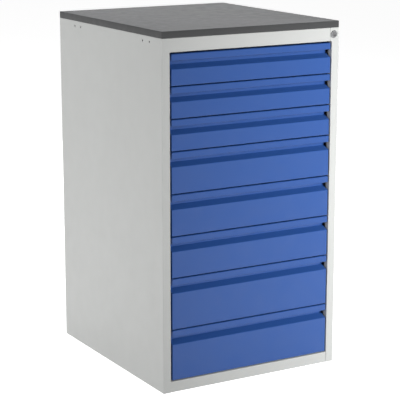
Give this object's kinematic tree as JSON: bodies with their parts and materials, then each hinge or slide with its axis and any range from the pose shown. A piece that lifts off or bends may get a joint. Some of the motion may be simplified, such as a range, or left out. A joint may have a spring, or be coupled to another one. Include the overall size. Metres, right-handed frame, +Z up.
{
  "type": "industrial drawer cabinet",
  "caption": "Tall sheet-steel workshop cabinet with a stack of full-extension drawers with recessed finger grips, a board worktop and a central lock.",
  "frame": {"origin": "bottom centre of the whole cabinet, on the floor", "axes": "+Z up, the drawer fronts face -Y, +X to the right as seen from the front"},
  "size_m": [0.58, 0.65, 1.0238],
  "materials": {
    "housing_paint": "light grey powder coat, fine satin texture",
    "front_paint": "mid blue powder coat, fine satin texture",
    "tray_paint": "light grey powder coat",
    "worktop_board": "chipboard faced with matt dark grey laminate",
    "worktop_edge": "matt dark grey edge band",
    "slide_zinc": "bright zinc plate",
    "lock_chrome": "satin chrome",
    "plug_steel": "turned steel"
  },
  "bodies": {
    "housing": {"side_panel_left": "housing_paint", "side_panel_right": "housing_paint", "lock_column": "housing_paint", "top_rail": "housing_paint", "base_pan": "housing_paint", "back_panel": "housing_paint", "top_panel": "housing_paint", "worktop_board": "worktop_board", "worktop_edge_band": "worktop_edge", "lock_housing": "lock_chrome", "drawer_1_rail_left": "slide_zinc", "drawer_1_rail_right": "slide_zinc", "drawer_2_rail_left": "slide_zinc", "drawer_2_rail_right": "slide_zinc", "drawer_3_rail_left": "slide_zinc", "drawer_3_rail_right": "slide_zinc", "drawer_4_rail_left": "slide_zinc", "drawer_4_rail_right": "slide_zinc", "drawer_5_rail_left": "slide_zinc", "drawer_5_rail_right": "slide_zinc", "drawer_6_rail_left": "slide_zinc", "drawer_6_rail_right": "slide_zinc", "drawer_7_rail_left": "slide_zinc", "drawer_7_rail_right": "slide_zinc", "drawer_8_rail_left": "slide_zinc", "drawer_8_rail_right": "slide_zinc"},
    "drawer_1": {"drawer_1_front": "front_paint", "drawer_1_tray": "tray_paint"},
    "drawer_1_slides": {"drawer_1_slide_left": "slide_zinc", "drawer_1_slide_right": "slide_zinc"},
    "drawer_2": {"drawer_2_front": "front_paint", "drawer_2_tray": "tray_paint"},
    "drawer_2_slides": {"drawer_2_slide_left": "slide_zinc", "drawer_2_slide_right": "slide_zinc"},
    "drawer_3": {"drawer_3_front": "front_paint", "drawer_3_tray": "tray_paint"},
    "drawer_3_slides": {"drawer_3_slide_left": "slide_zinc", "drawer_3_slide_right": "slide_zinc"},
    "drawer_4": {"drawer_4_front": "front_paint", "drawer_4_tray": "tray_paint"},
    "drawer_4_slides": {"drawer_4_slide_left": "slide_zinc", "drawer_4_slide_right": "slide_zinc"},
    "drawer_5": {"drawer_5_front": "front_paint", "drawer_5_tray": "tray_paint"},
    "drawer_5_slides": {"drawer_5_slide_left": "slide_zinc", "drawer_5_slide_right": "slide_zinc"},
    "drawer_6": {"drawer_6_front": "front_paint", "drawer_6_tray": "tray_paint"},
    "drawer_6_slides": {"drawer_6_slide_left": "slide_zinc", "drawer_6_slide_right": "slide_zinc"},
    "drawer_7": {"drawer_7_front": "front_paint", "drawer_7_tray": "tray_paint"},
    "drawer_7_slides": {"drawer_7_slide_left": "slide_zinc", "drawer_7_slide_right": "slide_zinc"},
    "drawer_8": {"drawer_8_front": "front_paint", "drawer_8_tray": "tray_paint"},
    "drawer_8_slides": {"drawer_8_slide_left": "slide_zinc", "drawer_8_slide_right": "slide_zinc"},
    "lock_bar": {"lock_bar": "slide_zinc"},
    "lock_plug": {"lock_plug": "plug_steel"}
  },
  "joints": [
    {"name": "drawer_1_travel", "type": "slide", "parent": "housing", "child": "drawer_1", "axis": [0, -1, 0], "range_m": [0, 0.6]},
    {"name": "drawer_1_slides_travel", "type": "slide", "parent": "housing", "child": "drawer_1_slides", "axis": [0, -1, 0], "range_m": [0, 0.3]},
    {"name": "drawer_2_travel", "type": "slide", "parent": "housing", "child": "drawer_2", "axis": [0, -1, 0], "range_m": [0, 0.6]},
    {"name": "drawer_2_slides_travel", "type": "slide", "parent": "housing", "child": "drawer_2_slides", "axis": [0, -1, 0], "range_m": [0, 0.3]},
    {"name": "drawer_3_travel", "type": "slide", "parent": "housing", "child": "drawer_3", "axis": [0, -1, 0], "range_m": [0, 0.6]},
    {"name": "drawer_3_slides_travel", "type": "slide", "parent": "housing", "child": "drawer_3_slides", "axis": [0, -1, 0], "range_m": [0, 0.3]},
    {"name": "drawer_4_travel", "type": "slide", "parent": "housing", "child": "drawer_4", "axis": [0, -1, 0], "range_m": [0, 0.6]},
    {"name": "drawer_4_slides_travel", "type": "slide", "parent": "housing", "child": "drawer_4_slides", "axis": [0, -1, 0], "range_m": [0, 0.3]},
    {"name": "drawer_5_travel", "type": "slide", "parent": "housing", "child": "drawer_5", "axis": [0, -1, 0], "range_m": [0, 0.6]},
    {"name": "drawer_5_slides_travel", "type": "slide", "parent": "housing", "child": "drawer_5_slides", "axis": [0, -1, 0], "range_m": [0, 0.3]},
    {"name": "drawer_6_travel", "type": "slide", "parent": "housing", "child": "drawer_6", "axis": [0, -1, 0], "range_m": [0, 0.6]},
    {"name": "drawer_6_slides_travel", "type": "slide", "parent": "housing", "child": "drawer_6_slides", "axis": [0, -1, 0], "range_m": [0, 0.3]},
    {"name": "drawer_7_travel", "type": "slide", "parent": "housing", "child": "drawer_7", "axis": [0, -1, 0], "range_m": [0, 0.6]},
    {"name": "drawer_7_slides_travel", "type": "slide", "parent": "housing", "child": "drawer_7_slides", "axis": [0, -1, 0], "range_m": [0, 0.3]},
    {"name": "drawer_8_travel", "type": "slide", "parent": "housing", "child": "drawer_8", "axis": [0, -1, 0], "range_m": [0, 0.6]},
    {"name": "drawer_8_slides_travel", "type": "slide", "parent": "housing", "child": "drawer_8_slides", "axis": [0, -1, 0], "range_m": [0, 0.3]},
    {"name": "lock_bar_lift", "type": "slide", "parent": "housing", "child": "lock_bar", "axis": [0, 0, 1], "range_m": [0, 0.0113]},
    {"name": "lock_plug_turn", "type": "hinge", "parent": "housing", "child": "lock_plug", "pos_m": [0.272, -0.323, 0.98525], "axis": [0, -1, 0], "range_deg": [0, 90]}
  ],
  "couplings": [
    {"joint": "drawer_1_slides_travel", "follows": "drawer_1_travel", "ratio": 0.5},
    {"joint": "drawer_2_slides_travel", "follows": "drawer_2_travel", "ratio": 0.5},
    {"joint": "drawer_3_slides_travel", "follows": "drawer_3_travel", "ratio": 0.5},
    {"joint": "drawer_4_slides_travel", "follows": "drawer_4_travel", "ratio": 0.5},
    {"joint": "drawer_5_slides_travel", "follows": "drawer_5_travel", "ratio": 0.5},
    {"joint": "drawer_6_slides_travel", "follows": "drawer_6_travel", "ratio": 0.5},
    {"joint": "drawer_7_slides_travel", "follows": "drawer_7_travel", "ratio": 0.5},
    {"joint": "drawer_8_slides_travel", "follows": "drawer_8_travel", "ratio": 0.5},
    {"joint": "lock_plug_turn", "follows": "lock_bar_lift", "rad_per_m": 138.8}
  ]
}
